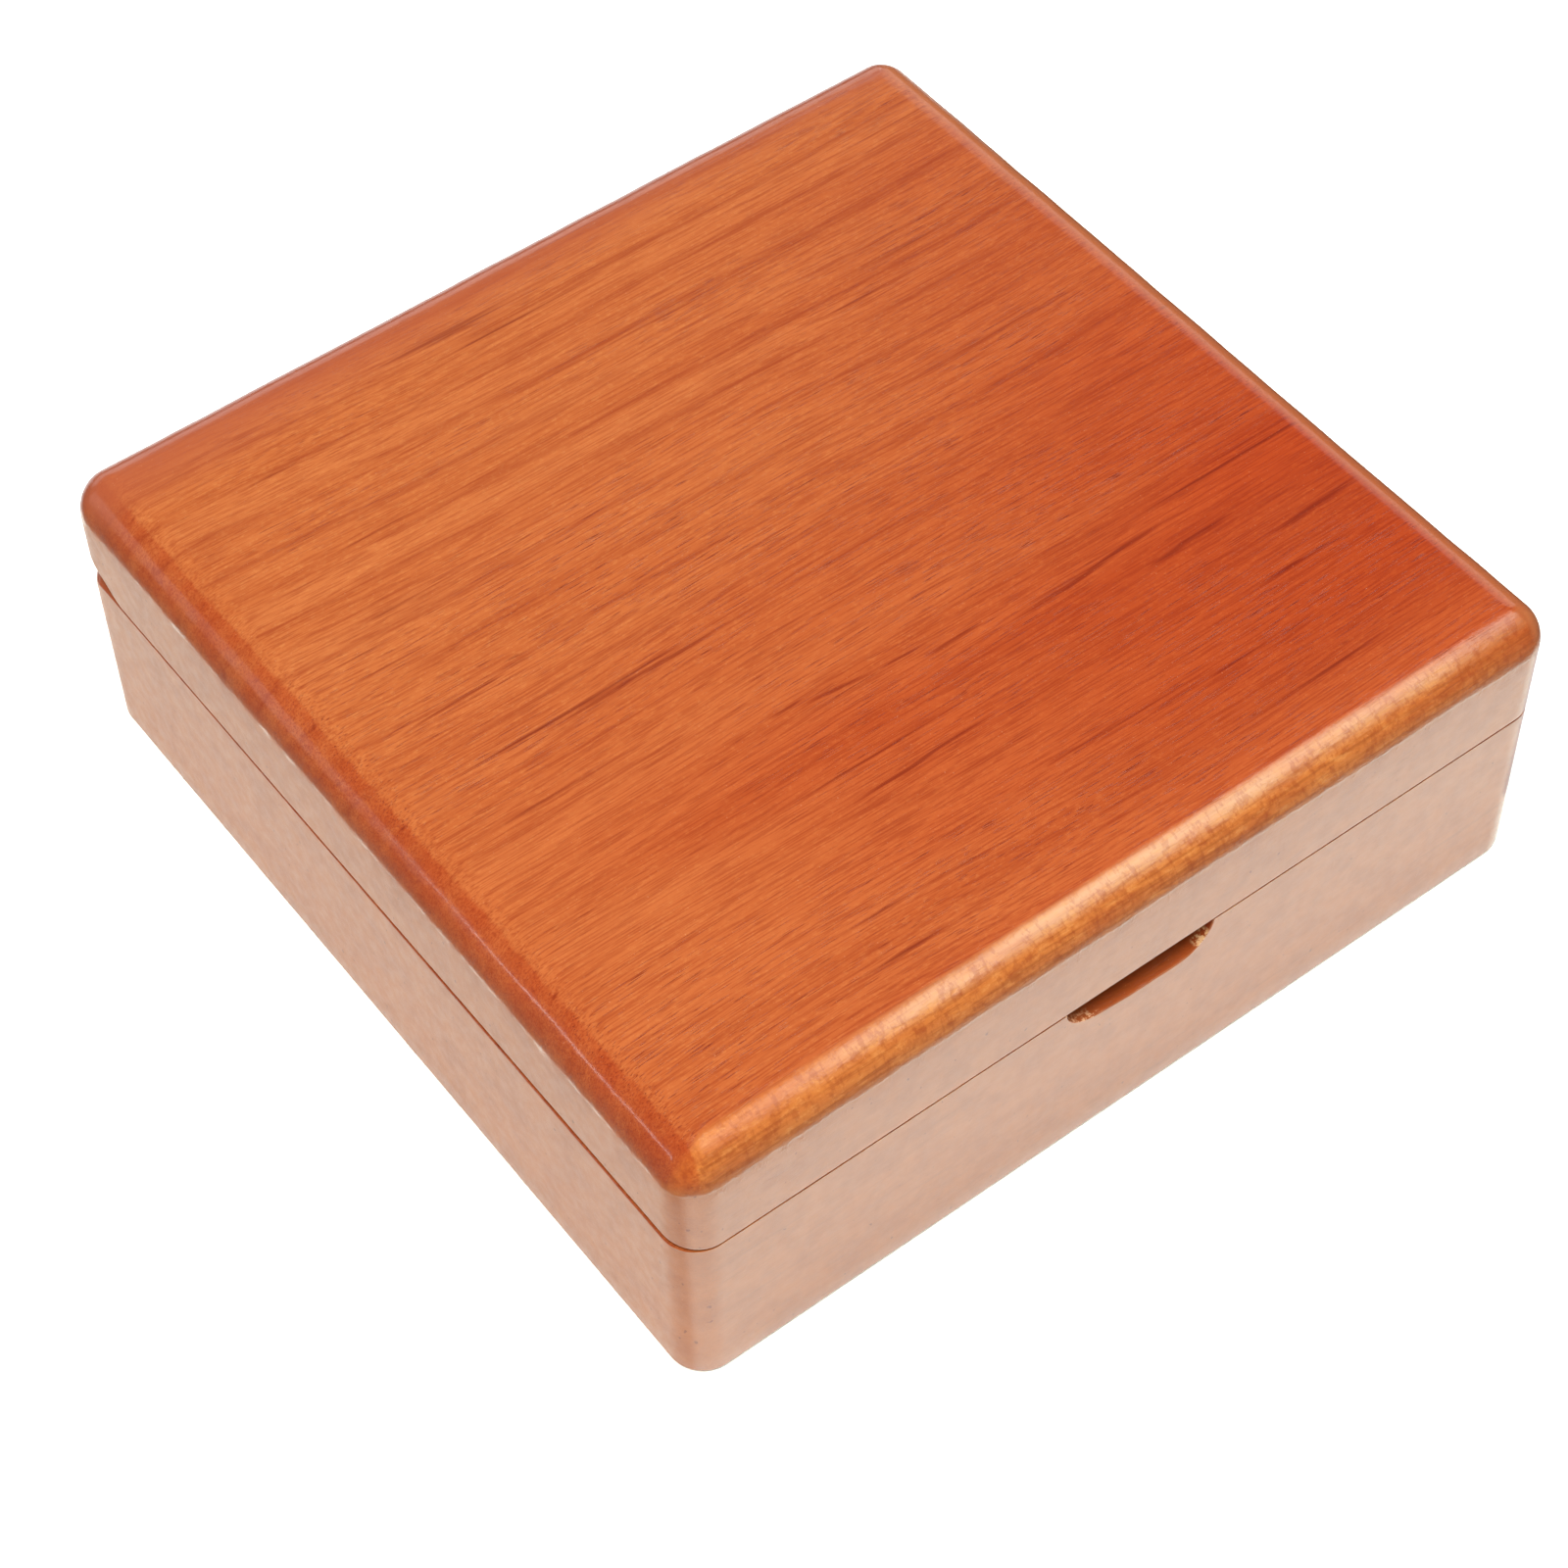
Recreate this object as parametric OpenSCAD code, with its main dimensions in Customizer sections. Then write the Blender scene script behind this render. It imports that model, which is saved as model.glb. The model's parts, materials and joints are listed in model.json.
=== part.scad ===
// Small square hardwood box: a base block and a lid block, each milled hollow from solid wood,
// joined along the back by two mortised butt hinges and held shut by magnets in the front rims.
// X runs along the front edge, Y to the hinged back, Z up. The origin is the middle of the underside.

/* [Box] */
// Width along the front edge
box_w = 100; // [96:1:110]
// Depth from the front face to the back face
box_d = 100; // [96:1:110]
// Height of the base, up to the seam
base_h = 21; // [18:0.5:26]
// Height of the lid, from the seam up
lid_h = 13; // [12:0.5:18]
// Thickness of the walls round both hollows
wall_t = 8; // [7.5:0.5:10]
// Thickness of the base's floor
floor_t = 4.5; // [3:0.5:6]
// Thickness of the lid's top
ceiling_t = 4.5; // [4:0.5:6]
// Radius of the hollows' upright corners
hollow_r = 6; // [4:0.5:10]
// Gap between the two rims when the lid is shut
seam_gap = 0.16; // [0.1:0.02:0.3]

/* [Edges] */
// Radius of the upright corners
corner_r = 3.6; // [2.5:0.1:3.8]
// Round along the lid's front, back and right top edges
lid_top_r = 4.2; // [3:0.1:4.5]
// Round along the lid's left top edge, sanded a little fuller
lid_left_r = 4.7; // [3:0.1:5]
// Round along the lid's lower back edge, which lets the lid swing past upright
lid_back_r = 5; // [4:0.1:5.5]
// Round along the base's upper back edge
base_back_r = 2; // [1:0.1:2.5]
// Chamfer that eases the rims and the underside
ease = 0.4; // [0.2:0.1:0.8]

/* [Finger notch] */
// Width of the notch where it meets the seam
notch_w = 17; // [12:0.5:24]
// Height of the notch below the base's rim
notch_h = 3.5; // [2.5:0.1:5]
// Radius of the notch's two ends
notch_r = 4.2; // [4:0.1:6]
// How far the notch reaches into the front wall
notch_depth = 5; // [3:0.5:6]

/* [Hinges] */
// Distance from the box's middle to each hinge's middle
hinge_x = 30; // [20:1:32]
// Length of a hinge along its pin
hinge_w = 16; // [14:0.5:18]
// Outer radius of the knuckles
knuckle_r = 1.5; // [1.4:0.05:1.6]
// Length of the lid leaf's single middle knuckle
mid_knuckle_w = 5.6; // [4:0.2:7]
// Gap between neighbouring knuckles
knuckle_gap = 0.2; // [0.1:0.05:0.3]
// Thickness of a leaf
leaf_t = 0.8; // [0.6:0.1:1]
// Radius of the hinge pin
pin_r = 0.6; // [0.5:0.05:0.65]
// Radial clearance between the pin and the knuckles
pin_clearance = 0.05; // [0.02:0.01:0.1]
// Radius of the pin's peened ends
pin_head_r = 0.95; // [0.8:0.05:1.1]

/* [Screws] */
// Distance from a hinge's middle to each of its screws
screw_x = 4.6; // [4:0.2:5.6]
// Length of a screw under the leaf's face
screw_len = 6; // [4:0.5:7]
// Radius of a screw's shank
screw_r = 0.6; // [0.5:0.05:0.7]
// Radius of a screw's countersunk head
screw_head_r = 1.25; // [1.1:0.05:1.4]

/* [Magnets] */
// Distance from the box's middle to each magnet
magnet_x = 32; // [22:1:38]
// Radius of a magnet
magnet_r = 2.5; // [2:0.25:3]
// Thickness of a magnet
magnet_t = 2; // [1:0.25:3]

/* [Felt] */
// Thickness of the felt on the base's floor
base_felt_t = 1.2; // [0.8:0.1:2]
// Thickness of the felt under the lid's top
lid_felt_t = 1; // [0.8:0.1:2]

/* [Hidden] */
$fn = 64;
wood_colour = [0.66, 0.33, 0.15];
brass_colour = [0.80, 0.65, 0.32];
steel_colour = [0.78, 0.79, 0.80];
felt_colour = [0.10, 0.09, 0.09];

past = 1;                                // how far a cutter runs beyond the face it cuts
total_h = base_h + lid_h;
rim_z = base_h - seam_gap / 2;           // top of the base's rim
lid_z = base_h + seam_gap / 2;           // underside of the lid's rim
hollow_w = box_w - 2 * wall_t;
hollow_d = box_d - 2 * wall_t;
rim_mid_y = (box_d - wall_t) / 2;        // middle line of the front and back walls

back_inset = 0.1;                        // knuckles stay this far inside the back face
hinge_y = box_d / 2 - knuckle_r - back_inset;
hinge_z = base_h;
bore_r = pin_r + pin_clearance;
end_knuckle_w = (hinge_w - mid_knuckle_w) / 2 - knuckle_gap;
plate_back = hinge_y - knuckle_r - 0.25; // where a leaf's flat plate stops, short of the knuckles
plate_front = box_d / 2 - wall_t + 0.6;  // its front edge, just outside the hollow
screw_y = (plate_front + plate_back) / 2;
tab_reach = knuckle_r - bore_r;          // how far a tab runs into its knuckle's wall
mortise_gap = 0.1;                       // play between a leaf and its mortise
knuckle_room = 0.4;                      // play between the knuckles and the wood
pin_head_t = 0.35;

csk_r = screw_head_r + 0.05;             // countersink in a leaf
csk_h = 0.6;
hole_r = screw_r + 0.1;                  // hole through a leaf
pilot_r = screw_r + 0.03;                // pilot hole in the wood
tip_h = 1.5;                             // a screw's tapered tip
slot_w = 0.35;
slot_depth = 0.25;

glue_gap = 0.05;                         // play round a magnet, filled by glue
felt_gap = 0.15;                         // play round the felt

// ---- shared shapes ----

// What rounding a square corner at the origin, with its material towards +X +Y, takes off
module corner_waste(r) {
    difference() {
        translate([-past, -past]) square(r + past);
        translate([r, r]) circle(r);
    }
}

// The same for a chamfer
module chamfer_waste(c) {
    polygon([[-past, -past], [c + past, -past], [-past, c + past]]);
}

module rounded_rect(w, d, r) {
    square([w - 2 * r, d], center = true);
    square([w, d - 2 * r], center = true);
    for (x = [-1, 1], y = [-1, 1])
        translate([x * (w / 2 - r), y * (d / 2 - r)]) circle(r);
}

// Places 2D waste at one corner of the front-to-back section and runs it the whole width.
// side is -1 for the front edge and 1 for the back; up is 1 for an edge whose wood is above it.
module along_x(side, z, up) {
    translate([0, side * box_d / 2, z])
        rotate([90, 0, 90])
            linear_extrude(height = box_w + 2 * past, center = true)
                scale([-side, up]) children();
}

// The same for the left (-1) and right (1) edges
module along_y(side, z, up) {
    translate([side * box_w / 2, 0, z])
        rotate([90, 0, 0])
            linear_extrude(height = box_d + 2 * past, center = true)
                scale([-side, up]) children();
}

module upright_corners() {
    for (x = [-1, 1], y = [-1, 1])
        translate([x * box_w / 2, y * box_d / 2, -past])
            linear_extrude(height = total_h + 2 * past)
                scale([-x, -y]) corner_waste(corner_r);
}

module ease_edges(z, up) {
    for (side = [-1, 1])
        along_y(side, z, up) chamfer_waste(ease);
    along_x(-1, z, up) chamfer_waste(ease);
}

// Turns a shape drawn about the X axis at the origin into place on each hinge's pin
module at_pin(side) {
    translate([side * hinge_x, hinge_y, hinge_z]) children();
}

module x_cylinder(r, w) {
    rotate([0, 90, 0]) cylinder(r = r, h = w, center = true);
}

// ---- wood ----

// Room for one hinge: the leaf's mortise, and a coaxial pocket for the knuckles and the pin's ends.
// up is -1 for the base, whose mortise goes down from its rim, and 1 for the lid.
module hinge_recess(side, rim, up) {
    room_w = hinge_w + 2 * mortise_gap;
    front = plate_front - mortise_gap;
    translate([side * hinge_x - room_w / 2, front, up > 0 ? rim - past : rim - leaf_t])
        cube([room_w, hinge_y - front, leaf_t + past]);
    at_pin(side) x_cylinder(knuckle_r + knuckle_room, hinge_w + 2 * (pin_head_t + knuckle_room));
    for (end = [-1, 1])
        translate([side * hinge_x + end * screw_x, screw_y, rim])
            scale([1, 1, up]) cylinder(r = pilot_r, h = screw_len + 0.3);
}

module magnet_pocket(side, rim, up) {
    translate([side * magnet_x, -rim_mid_y, rim])
        mirror([0, 0, up > 0 ? 0 : 1])
            translate([0, 0, -past])
                cylinder(r = magnet_r + glue_gap, h = magnet_t + 2 * glue_gap + past);
}

module notch_outline() {
    flat = notch_w / 2 - sqrt(pow(notch_r, 2) - pow(notch_r - notch_h, 2));
    translate([-flat, -notch_h]) square([2 * flat, notch_h + past]);
    for (x = [-1, 1])
        translate([x * flat, notch_r - notch_h]) circle(notch_r);
}

module base() {
    color(wood_colour) difference() {
        translate([-box_w / 2, -box_d / 2, 0]) cube([box_w, box_d, rim_z]);
        upright_corners();
        along_x(1, rim_z, -1) corner_waste(base_back_r);
        ease_edges(rim_z, -1);
        ease_edges(0, 1);
        along_x(1, 0, 1) chamfer_waste(ease);
        translate([0, 0, floor_t])
            linear_extrude(height = base_h) rounded_rect(hollow_w, hollow_d, hollow_r);
        translate([0, notch_depth - box_d / 2, rim_z])
            rotate([90, 0, 0])
                linear_extrude(height = notch_depth + past) notch_outline();
        for (side = [-1, 1]) {
            hinge_recess(side, rim_z, -1);
            magnet_pocket(side, rim_z, -1);
        }
    }
}

module lid() {
    color(wood_colour) difference() {
        translate([-box_w / 2, -box_d / 2, lid_z]) cube([box_w, box_d, total_h - lid_z]);
        upright_corners();
        along_x(-1, total_h, -1) corner_waste(lid_top_r);
        along_x(1, total_h, -1) corner_waste(lid_top_r);
        along_y(1, total_h, -1) corner_waste(lid_top_r);
        along_y(-1, total_h, -1) corner_waste(lid_left_r);
        along_x(1, lid_z, 1) corner_waste(lid_back_r);
        ease_edges(lid_z, 1);
        translate([0, 0, lid_z - past])
            linear_extrude(height = total_h - ceiling_t - lid_z + past)
                rounded_rect(hollow_w, hollow_d, hollow_r);
        for (side = [-1, 1]) {
            hinge_recess(side, lid_z, 1);
            magnet_pocket(side, lid_z, 1);
        }
    }
}

// ---- felt ----

module felt_pad(z, t) {
    color(felt_colour) translate([0, 0, z])
        linear_extrude(height = t)
            rounded_rect(hollow_w - 2 * felt_gap, hollow_d - 2 * felt_gap, hollow_r - felt_gap);
}

module base_felt() {
    felt_pad(floor_t, base_felt_t);
}

module lid_felt() {
    felt_pad(total_h - ceiling_t - lid_felt_t, lid_felt_t);
}

// ---- hinges ----

// A flat plate with one tab and knuckle for each [x, width] in knuckles, bored for the pin and
// countersunk for two screws. up is -1 for the base leaf and 1 for the lid leaf.
module leaf(side, knuckles, up) {
    face_z = up * seam_gap / 2;          // the face that meets the other leaf, above the pin's axis
    low_z = up > 0 ? face_z : face_z - leaf_t;
    color(brass_colour) at_pin(side) difference() {
        union() {
            translate([-hinge_w / 2, plate_front - hinge_y, low_z])
                cube([hinge_w, plate_back - plate_front, leaf_t]);
            for (k = knuckles) {
                translate([k[0] - k[1] / 2, plate_back - hinge_y - 0.1, low_z])
                    cube([k[1], hinge_y - plate_back + 0.1 - knuckle_r + tab_reach, leaf_t]);
                translate([k[0], 0, 0]) x_cylinder(knuckle_r, k[1]);
            }
        }
        x_cylinder(bore_r, hinge_w + 2 * past);
        for (end = [-1, 1])
            translate([end * screw_x, screw_y - hinge_y, face_z]) scale([1, 1, up]) {
                translate([0, 0, -past]) cylinder(r = hole_r, h = leaf_t + 2 * past);
                cylinder(r1 = csk_r, r2 = hole_r, h = csk_h);
            }
    }
}

module base_leaf(side) {
    end_x = (hinge_w - end_knuckle_w) / 2;
    leaf(side, [[-end_x, end_knuckle_w], [end_x, end_knuckle_w]], -1);
}

module lid_leaf(side) {
    leaf(side, [[0, mid_knuckle_w]], 1);
}

module hinge_pin(side) {
    color(brass_colour) at_pin(side) {
        x_cylinder(pin_r, hinge_w + 0.1);
        for (end = [-1, 1])
            translate([end * (hinge_w + pin_head_t) / 2, 0, 0]) x_cylinder(pin_head_r, pin_head_t);
    }
}

// A slotted countersunk screw. end is -1 or 1, towards the box's left or right from the hinge's middle.
module screw(side, end, up) {
    flush = 0.02;                        // how far the head sits below the leaf's face
    head_h = csk_h - 0.05;
    face_z = hinge_z + up * (seam_gap / 2 + flush);
    color(brass_colour)
        translate([side * hinge_x + end * screw_x, screw_y, face_z]) scale([1, 1, up])
            difference() {
                union() {
                    cylinder(r1 = screw_head_r, r2 = screw_r, h = head_h);
                    translate([0, 0, head_h / 2]) cylinder(r = screw_r, h = screw_len - tip_h - head_h / 2);
                    translate([0, 0, screw_len - tip_h]) cylinder(r1 = screw_r, r2 = 0.1, h = tip_h);
                }
                translate([-screw_head_r - past, -slot_w / 2, -past])
                    cube([2 * (screw_head_r + past), slot_w, past + slot_depth]);
            }
}

// ---- magnets ----

module magnet(side, rim, up) {
    color(steel_colour)
        translate([side * magnet_x, -rim_mid_y, up > 0 ? rim + glue_gap : rim - glue_gap - magnet_t])
            cylinder(r = magnet_r, h = magnet_t);
}

base();
lid();
base_felt();
lid_felt();
base_leaf(-1);  // left_base_leaf
lid_leaf(-1);  // left_lid_leaf
hinge_pin(-1);  // left_hinge_pin
base_leaf(1);  // right_base_leaf
lid_leaf(1);  // right_lid_leaf
hinge_pin(1);  // right_hinge_pin
screw(-1, -1, -1);  // left_base_screw_outer
screw(-1, 1, -1);  // left_base_screw_inner
screw(-1, -1, 1);  // left_lid_screw_outer
screw(-1, 1, 1);  // left_lid_screw_inner
screw(1, 1, -1);  // right_base_screw_outer
screw(1, -1, -1);  // right_base_screw_inner
screw(1, 1, 1);  // right_lid_screw_outer
screw(1, -1, 1);  // right_lid_screw_inner
magnet(-1, rim_z, -1);  // left_base_magnet
magnet(1, rim_z, -1);  // right_base_magnet
magnet(-1, lid_z, 1);  // left_lid_magnet
magnet(1, lid_z, 1);  // right_lid_magnet
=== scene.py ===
import json
import math

import bmesh
import bpy
import numpy as np
from mathutils import Matrix, Vector, noise


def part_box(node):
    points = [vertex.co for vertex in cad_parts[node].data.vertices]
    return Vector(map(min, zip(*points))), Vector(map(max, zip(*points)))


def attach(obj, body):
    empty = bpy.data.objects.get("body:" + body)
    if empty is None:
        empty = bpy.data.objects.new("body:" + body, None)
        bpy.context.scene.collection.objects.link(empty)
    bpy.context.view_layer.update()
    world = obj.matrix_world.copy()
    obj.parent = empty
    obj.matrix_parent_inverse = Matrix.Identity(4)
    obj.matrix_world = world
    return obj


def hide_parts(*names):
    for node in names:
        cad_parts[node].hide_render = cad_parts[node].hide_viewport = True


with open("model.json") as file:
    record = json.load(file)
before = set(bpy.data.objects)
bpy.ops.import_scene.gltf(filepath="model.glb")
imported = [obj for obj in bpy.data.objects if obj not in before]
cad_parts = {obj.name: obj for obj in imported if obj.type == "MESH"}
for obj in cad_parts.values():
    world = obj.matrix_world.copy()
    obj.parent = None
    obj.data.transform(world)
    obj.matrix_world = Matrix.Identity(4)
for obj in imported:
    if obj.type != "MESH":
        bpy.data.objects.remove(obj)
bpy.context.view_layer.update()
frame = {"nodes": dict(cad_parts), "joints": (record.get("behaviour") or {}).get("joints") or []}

MM = 0.001

# ---- boxes and the hinge line, from the frame ----

LID_LOW, LID_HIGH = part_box("lid")
BASE_LOW, BASE_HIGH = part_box("base")
BASE_FELT_LOW, BASE_FELT_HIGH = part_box("base_felt")
LID_FELT_LOW, LID_FELT_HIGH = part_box("lid_felt")
LEAF_LOW, LEAF_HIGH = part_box("right_base_leaf")
MAGNET_LOW, MAGNET_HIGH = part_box("right_lid_magnet")
HINGE = Vector(frame["joints"][0]["pos_m"])

# ---- sizes, in metres ----

CORNER_R = 3.6 * MM          # upright corners
LID_TOP_R = 4.2 * MM         # round along the lid's top edges
LEFT_EXTRA_R = 0.5 * MM      # how much fuller the left one is
LID_BACK_R = 5.0 * MM        # round along the lid's lower back edge
BASE_BACK_R = 2.0 * MM       # round along the base's upper back edge
FOOT_EASE = 0.5 * MM         # small round on the underside's edges
HOLLOW_EASE = 0.3 * MM       # small round on the hollows' mouths
HOLLOW_R = 6.0 * MM          # upright corners of the hollows
HOLLOW_FILLET = 0.4 * MM     # where the hollows' walls meet their floors
WALL = 8.0 * MM              # wall round the hollows
TIGHTEST_R = 0.3 * MM        # least corner radius of any ring
BACK_BLEND = 0.3 * MM        # how softly the rounds beside the seam run into the back
LID_MIDDLE = 6.6 * MM        # height in the lid of a ring between its lower and upper rounds

# the small round on the rims' outer edges, and how much more of it there is in places
RIM_EASE = 0.06 * MM
LID_LEFT_EASE = 0.65 * MM            # along the lid's left side
LID_BACK_CORNER_EASE = 1.2 * MM      # at its back corners
LID_BACK_END_EASE = 2.3 * MM         # at its left side's back end: a nick in the outline
BASE_LEFT_EASE = 0.12 * MM           # along the base's left side
BASE_BACK_CORNER_EASE = 1.0 * MM     # at its back corners

NOTCH_W = 17.0 * MM          # finger notch: width at the seam
NOTCH_H = 3.5 * MM           # its height
NOTCH_R = 4.2 * MM           # radius of its ends
NOTCH_DEPTH = 5.0 * MM       # how far it reaches into the rim
NOTCH_SHIFT = 0.5 * MM       # how far right of the middle it lies

PLAY = 0.1 * MM              # room round a leaf, and behind and under a magnet
HINGE_X = (LEAF_LOW.x + LEAF_HIGH.x) / 2         # middle of the right hinge; the left one mirrors it
MORTISE = (LEAF_HIGH.x - LEAF_LOW.x) / 2 + PLAY  # half the length of a leaf's mortise
MORTISE_FRONT = LEAF_LOW.y - PLAY
LEAF_T = 0.8 * MM
KNUCKLE_ROOM_R = 1.9 * MM    # radius of the pocket round the knuckles
KNUCKLE_ROOM_W = 17.5 * MM   # its length
MAGNET_ROOM_R = (MAGNET_HIGH.x - MAGNET_LOW.x) / 2 + PLAY / 2
MAGNET_ROOM_T = MAGNET_HIGH.z - MAGNET_LOW.z + PLAY
PAST_RIM = 0.6 * MM          # how far a cutter stands out of the rim it cuts

# dark streaks in the lid's top: middle x and y, length, width, and rise over the length, all in mm
STREAKS = ((-21, -4.2, 24, 0.42, 0.2), (-8, -16.4, 8, 0.36, -0.7), (4, -18.2, 7, 0.36, 0.0),
           (19, -19.5, 22, 0.42, 0.8), (29, -22.4, 12, 0.52, 0.6), (41, -26.2, 13, 0.50, 0.3),
           (-7, -27.4, 18, 0.36, 0.5), (-36, 3.6, 12, 0.28, 0.6), (34, -30.4, 5, 0.26, 0.0),
           (-13, -15.5, 4, 0.26, 0.1), (23, -36.0, 8, 0.26, -0.1), (-1, -16.9, 5, 0.26, 0.0))

EDGE_STEPS = 240             # quads along each side of the box
CORNER_STEPS = 12            # quads round each upright corner
NOTCH_END_STEPS = 24         # quads round each end of the notch
NOTCH_BOTTOM_STEPS = 12      # quads along its bottom

# ---- the camera, at the photo's angle ----

AZIMUTH = math.radians(36.26)
ELEVATION = math.radians(52.17)
ROLL = math.radians(1.23)
LENS = 85.67
DISTANCE = 330 * MM
AIM = Vector((-18.3 * MM, -22.1 * MM, LID_HIGH.z))      # where on the lid's top it looks


# ---- small helpers ----

def smooth_min(a, b, k):
    """The lower of a and b, blended over a width of k."""
    h = np.clip(0.5 + 0.5 * (b - a) / k, 0, 1)
    return b + (a - b) * h - k * h * (1 - h)


def smoothstep(low, high, x):
    t = np.clip((x - low) / (high - low), 0, 1)
    return t * t * (3 - 2 * t)


def wander(xy, wavelength, seed):
    """Smooth noise from -1 to 1 at each point, the same on every run."""
    return np.array([noise.noise(Vector((p[0] / wavelength, p[1] / wavelength, seed))) for p in xy])


def link(name, mesh):
    obj = bpy.data.objects.new(name, mesh)
    bpy.context.scene.collection.objects.link(obj)
    return obj


def shade_smooth(mesh):
    mesh.polygons.foreach_set("use_smooth", [True] * len(mesh.polygons))


# ---- milled blocks ----

OUTWARD = ((0, -1), (1, 0), (0, 1), (-1, 0))     # which way the front, right, back and left sides face


def ring(x0, x1, y0, y1, r):
    """A rounded rectangle, anticlockwise from its front left, as points and outward normals."""
    centres = [(x1 - r, y0 + r), (x1 - r, y1 - r), (x0 + r, y1 - r), (x0 + r, y0 + r)]
    points, normals = [], []
    for side in range(4):
        start = np.array(centres[side - 1], float)
        end = np.array(centres[side], float)
        out = np.array(OUTWARD[side], float)
        for i in range(EDGE_STEPS):
            points.append(start + (end - start) * i / EDGE_STEPS + out * r)
            normals.append(out)
        for i in range(CORNER_STEPS):
            a = math.radians(-90 + 90 * side + 90 * i / CORNER_STEPS)
            n = np.array([math.cos(a), math.sin(a)])
            points.append(end + n * r)
            normals.append(n)
    return np.array(points), np.array(normals)


def outer_ring(inset, more_left=0.0):
    """The block's outline pulled in by inset. Its corners tighten as it goes in."""
    x0, y0, x1, y1 = BASE_LOW.x, BASE_LOW.y, BASE_HIGH.x, BASE_HIGH.y
    r = max(CORNER_R - inset, TIGHTEST_R)
    return ring(x0 + inset + more_left, x1 - inset, y0 + inset, y1 - inset, r)


def hollow_ring(grow):
    """The hollow's outline, made wider by grow."""
    x0, y0, x1, y1 = BASE_LOW.x, BASE_LOW.y, BASE_HIGH.x, BASE_HIGH.y
    w = WALL - grow
    return ring(x0 + w, x1 - w, y0 + w, y1 - w, HOLLOW_R + grow)


def with_z(xy, z):
    return np.column_stack([xy, np.broadcast_to(z, len(xy))])


def loft(name, rings):
    """A closed mesh through rings of equal length, with a flat cap on the first and the last."""
    n = len(rings[0])
    verts = np.concatenate(rings)
    faces = []
    for k in range(len(rings) - 1):
        for i in range(n):
            j = (i + 1) % n
            faces.append((k * n + i, k * n + j, (k + 1) * n + j, (k + 1) * n + i))
    faces.append(tuple(reversed(range(n))))
    last = (len(rings) - 1) * n
    faces.append(tuple(range(last, last + n)))
    mesh = bpy.data.meshes.new(name)
    mesh.from_pydata(verts.tolist(), [], faces)
    mesh.update()
    bm = bmesh.new()
    bm.from_mesh(mesh)
    bmesh.ops.recalc_face_normals(bm, faces=bm.faces)
    bm.to_mesh(mesh)
    bm.free()
    shade_smooth(mesh)
    return link(name, mesh)


def eased_edge(z, up, ease_at, steps):
    """Rings round a block's lower (up 1) or upper (up -1) outer edge, from its flat face to its wall."""
    rings = []
    for phi in np.linspace(0, math.pi / 2, steps + 1):
        xy, n = outer_ring(0)
        e = ease_at(xy, n)
        xy = xy - n * (e * (1 - math.sin(phi)))[:, None]
        rings.append(with_z(xy, z + up * e * (1 - math.cos(phi))))
    return rings


def hollow_rings(rim_z, up, floor_z):
    """Rings from a rim into its hollow: an eased mouth, the wall, and a small fillet at the floor."""
    rings = []
    for phi in np.linspace(0, math.pi / 2, 4):
        xy, _ = hollow_ring(HOLLOW_EASE * (1 - math.sin(phi)))
        rings.append(with_z(xy, rim_z + up * HOLLOW_EASE * (1 - math.cos(phi))))
    xy, _ = hollow_ring(0)
    for t in (0.25, 0.5, 0.75):
        rings.append(with_z(xy, rim_z + (floor_z - rim_z) * t))
    for phi in np.linspace(0, math.pi / 2, 4):
        xy, _ = hollow_ring(-HOLLOW_FILLET * (1 - math.cos(phi)))
        rings.append(with_z(xy, floor_z - up * HOLLOW_FILLET * (1 - math.sin(phi))))
    return rings


def cut_back_edge(points, z_flat, up, r):
    """Rounds the back edge next to the seam, by running a quarter round of radius r along X."""
    depth = np.clip(r - up * (points[:, 2] - z_flat), 0, r)
    limit = BASE_HIGH.y - (r - np.sqrt(r * r - depth * depth))
    points[:, 1] = smooth_min(points[:, 1], limit, BACK_BLEND)
    return points


def leftness(n):
    """1 where the outline faces left, 0 where it faces front, back or right."""
    return np.clip(-n[:, 0], 0, 1) ** 2


def back_cornerness(n):
    """1 in the middle of the two back corners, 0 on the straight sides."""
    return 2 * np.abs(n[:, 0]) * np.clip(n[:, 1], 0, 1)


def lid_rim_ease(xy, n):
    along_left = 0.15 + 0.85 * smoothstep(30 * MM, -50 * MM, xy[:, 1])
    back_end = smoothstep(42 * MM, 47 * MM, xy[:, 1])
    return (RIM_EASE + LID_LEFT_EASE * leftness(n) * along_left + LID_BACK_CORNER_EASE * back_cornerness(n)
            + LID_BACK_END_EASE * leftness(n) * back_end)


def base_rim_ease(xy, n):
    return (RIM_EASE + BASE_LEFT_EASE * leftness(n) + BASE_BACK_CORNER_EASE * back_cornerness(n)
            + 0.04 * MM * wander(xy, 7 * MM, 2.2))


def base_foot_ease(xy, _):
    return FOOT_EASE + 0.1 * MM * wander(xy, 12 * MM, 5.5)


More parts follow.
